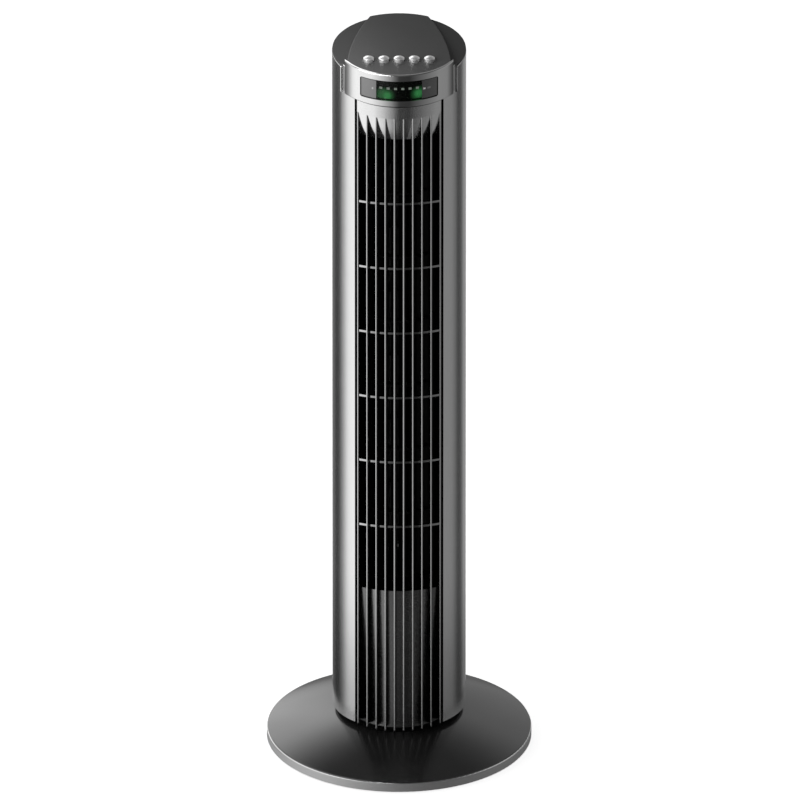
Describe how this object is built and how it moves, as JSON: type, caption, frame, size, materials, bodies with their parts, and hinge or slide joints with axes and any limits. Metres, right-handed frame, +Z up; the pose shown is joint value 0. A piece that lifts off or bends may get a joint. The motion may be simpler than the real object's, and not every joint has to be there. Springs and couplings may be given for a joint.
{
  "type": "tower fan",
  "caption": "Slim round tower fan on a domed disc base, with a finned outlet, rear intake, display band, push buttons and a swinging column.",
  "frame": {"origin": "on the floor under the centre of the base, on the swing axis", "axes": "+Z up along the swing axis, -Y out of the front of the fan, +X to the right of someone facing it"},
  "size_m": [0.27, 0.27, 0.7832],
  "materials": {
    "shell_silver": "satin metallic silver paint",
    "grille_silver": "satin metallic silver paint",
    "band_silver": "satin chrome plating",
    "rim_silver": "satin metallic silver paint",
    "button_silver": "bright silver plating",
    "charcoal": "fine grained dark grey moulding",
    "base_charcoal": "polished dark grey moulding",
    "inner_black": "plain black moulding",
    "wheel_black": "plain black moulding",
    "lens_smoke": "smoked clear plastic",
    "display_black": "glossy black",
    "mask_grey": "grey moulding",
    "lamp_green": "lit green lamp",
    "board_green": "lacquered circuit board",
    "switch_black": "plain black moulding",
    "steel": "plain machined steel",
    "screw_steel": "zinc plated",
    "ballast": "black painted sheet steel",
    "motor_paint": "dark painted pressing",
    "lamination": "stacked sheet steel",
    "copper": "lacquered copper wire",
    "bronze": "sintered bronze",
    "nylon": "natural nylon",
    "rubber": "soft black rubber",
    "capacitor_case": "plain grey plastic case"
  },
  "bodies": {
    "base": {"base_cover": "base_charcoal", "base_rim": "rim_silver", "ballast_plate": "ballast", "foot_pads": "rubber", "base_screws": "screw_steel", "pivot_tube": "inner_black", "retainer_ring": "steel", "retainer_screws": "screw_steel", "sector_gear": "nylon", "gear_screws": "screw_steel", "glide_ring": "nylon"},
    "column": {"swing_motor": "steel", "turntable": "inner_black", "lower_bulkhead": "inner_black", "upper_bulkhead": "inner_black", "right_shell": "shell_silver", "left_shell": "shell_silver", "rear_cover": "charcoal", "casing_screws": "screw_steel", "handle_cup": "charcoal", "cord_gland": "rubber", "intake_grille": "charcoal", "front_grille": "grille_silver", "scroll_wall": "inner_black", "tongue_wall": "inner_black", "top_bush": "bronze", "motor_top_bell": "motor_paint", "motor_bottom_bell": "motor_paint", "motor_stator": "lamination", "motor_windings": "copper", "motor_grommets": "rubber", "motor_screws": "screw_steel", "run_capacitor": "capacitor_case", "head_housing": "charcoal", "top_panel": "charcoal", "control_bezel": "band_silver", "display_lens": "lens_smoke", "display_board": "board_green", "display_frame": "mask_grey", "display_module": "display_black", "indicator_lamps": "lamp_green", "control_board": "board_green", "button_switches": "switch_black"},
    "fan_wheel": {"impeller": "wheel_black", "drive_coupling": "wheel_black", "impeller_axle": "steel", "motor_rotor": "lamination", "motor_shaft": "steel"},
    "pinion": {"swing_pinion": "nylon"},
    "button_1": {"button_1": "button_silver"},
    "button_2": {"button_2": "button_silver"},
    "button_3": {"button_3": "button_silver"},
    "button_4": {"button_4": "button_silver"},
    "button_5": {"button_5": "button_silver"}
  },
  "joints": [
    {"name": "column_oscillation", "type": "hinge", "parent": "base", "child": "column", "pos_m": [0, 0, 0.0355], "axis": [0, 0, 1], "range_deg": [-35, 35]},
    {"name": "fan_wheel_spin", "type": "hinge", "parent": "column", "child": "fan_wheel", "pos_m": [0, 0.006, 0.4], "axis": [0, 0, 1], "continuous": true},
    {"name": "pinion_spin", "type": "hinge", "parent": "column", "child": "pinion", "pos_m": [0, 0.039, 0.032], "axis": [0, 0, 1], "range_deg": [-120, 120]},
    {"name": "button_1_press", "type": "slide", "parent": "column", "child": "button_1", "axis": [0, 0.0349, -0.9994], "range_m": [0, 0.001], "stiffness_N_per_m": 350, "springref_m": -0.0006},
    {"name": "button_2_press", "type": "slide", "parent": "column", "child": "button_2", "axis": [0, 0.0349, -0.9994], "range_m": [0, 0.001], "stiffness_N_per_m": 350, "springref_m": -0.0006},
    {"name": "button_3_press", "type": "slide", "parent": "column", "child": "button_3", "axis": [0, 0.0349, -0.9994], "range_m": [0, 0.001], "stiffness_N_per_m": 350, "springref_m": -0.0006},
    {"name": "button_4_press", "type": "slide", "parent": "column", "child": "button_4", "axis": [0, 0.0349, -0.9994], "range_m": [0, 0.001], "stiffness_N_per_m": 350, "springref_m": -0.0006},
    {"name": "button_5_press", "type": "slide", "parent": "column", "child": "button_5", "axis": [0, 0.0349, -0.9994], "range_m": [0, 0.001], "stiffness_N_per_m": 350, "springref_m": -0.0006}
  ],
  "couplings": [
    {"joint": "pinion_spin", "follows": "column_oscillation", "ratio": 3.3333}
  ]
}
